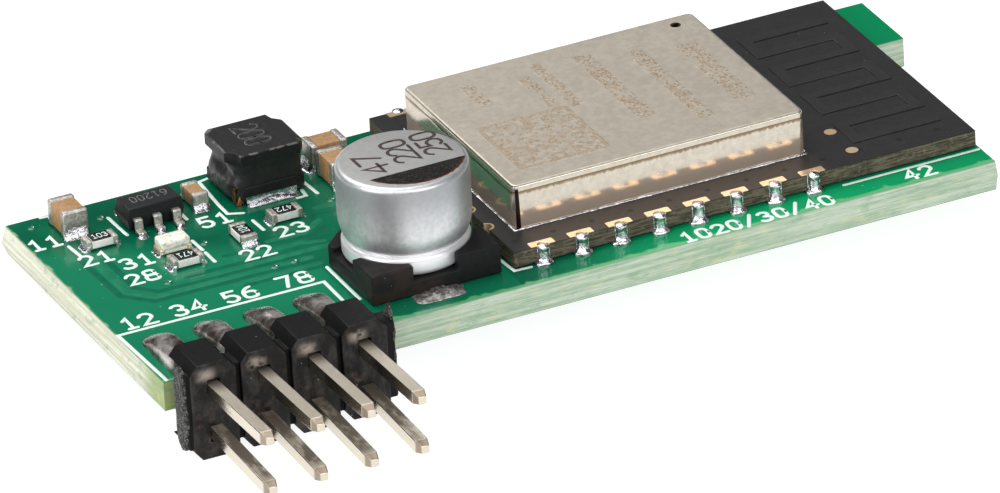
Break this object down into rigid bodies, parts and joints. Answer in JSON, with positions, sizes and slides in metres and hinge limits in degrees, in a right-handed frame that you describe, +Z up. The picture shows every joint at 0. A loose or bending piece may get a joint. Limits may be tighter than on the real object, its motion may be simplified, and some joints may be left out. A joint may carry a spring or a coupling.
{
  "type": "wireless network module on a plug-in carrier board",
  "caption": "Green carrier board with a slip-on double-row pin header, a small voltage supply and a radio module under a metal shield, soldered by its edge contacts.",
  "frame": {"origin": "centre of the part's box, on the plane of the header's underside", "axes": "+X along the board from the header end to the antenna end, +Y from the pins to the far edge, +Z up through the parts on the board"},
  "size_m": [0.0452, 0.0268, 0.0085],
  "materials": {
    "carrier_laminate": "green solder mask over glass-fibre laminate",
    "header_plastic": "moulded, faint mould grain",
    "pin_metal": "plated, satin",
    "header_solder": "dull solder",
    "bright_solder": "bright solder",
    "module_laminate": "black solder mask over laminate",
    "gilt_copper": "thin gilding, satin",
    "shield_steel": "drawn sheet, satin",
    "chip_plastic": "moulded, matt",
    "can_aluminium": "satin, bright at the bead",
    "base_plastic": "moulded, matt",
    "ferrite": "sintered, matt",
    "resin": "cast resin, slightly glossy",
    "copper_wire": "enamelled",
    "end_metal": "tinned",
    "capacitor_ceramic": "fired, satin",
    "resistor_ceramic": "fired, white",
    "resistor_glaze": "black glaze with light digits",
    "led_ceramic": "cream",
    "led_resin": "milky, translucent"
  },
  "bodies": {
    "root": {"main_board": "carrier_laminate", "header_body": "header_plastic", "header_pin_upper_1": "pin_metal", "header_pin_upper_2": "pin_metal", "header_pin_upper_3": "pin_metal", "header_pin_upper_4": "pin_metal", "header_pin_lower_1": "pin_metal", "header_pin_lower_2": "pin_metal", "header_pin_lower_3": "pin_metal", "header_pin_lower_4": "pin_metal", "header_solder_top": "header_solder", "header_solder_bottom": "header_solder", "module_board": "module_laminate", "module_contacts": "gilt_copper", "module_solder": "bright_solder", "antenna_track": "module_laminate", "shield_can": "shield_steel", "radio_chip": "chip_plastic", "memory_chip": "chip_plastic", "crystal": "shield_steel", "module_chips": "capacitor_ceramic", "capacitor_can": "can_aluminium", "capacitor_base": "base_plastic", "capacitor_lead_near": "end_metal", "capacitor_lead_far": "end_metal", "inductor_core": "ferrite", "inductor_coil": "copper_wire", "inductor_resin": "resin", "inductor_terminal_near": "end_metal", "inductor_terminal_far": "end_metal", "regulator_body": "chip_plastic", "regulator_leads": "end_metal", "input_capacitor_body": "capacitor_ceramic", "input_capacitor_ends": "end_metal", "bypass_capacitor_body": "capacitor_ceramic", "bypass_capacitor_ends": "end_metal", "output_capacitor_body": "capacitor_ceramic", "output_capacitor_ends": "end_metal", "filter_capacitor_body": "capacitor_ceramic", "filter_capacitor_ends": "end_metal", "resistor_1_body": "resistor_ceramic", "resistor_1_ends": "end_metal", "resistor_1_glaze": "resistor_glaze", "resistor_2_body": "resistor_ceramic", "resistor_2_ends": "end_metal", "resistor_2_glaze": "resistor_glaze", "resistor_3_body": "resistor_ceramic", "resistor_3_ends": "end_metal", "resistor_3_glaze": "resistor_glaze", "resistor_4_body": "resistor_ceramic", "resistor_4_ends": "end_metal", "resistor_4_glaze": "resistor_glaze", "led_base": "led_ceramic", "led_lens": "led_resin", "led_ends": "gilt_copper", "chip_solder": "bright_solder", "power_solder": "bright_solder"}
  },
  "joints": []
}
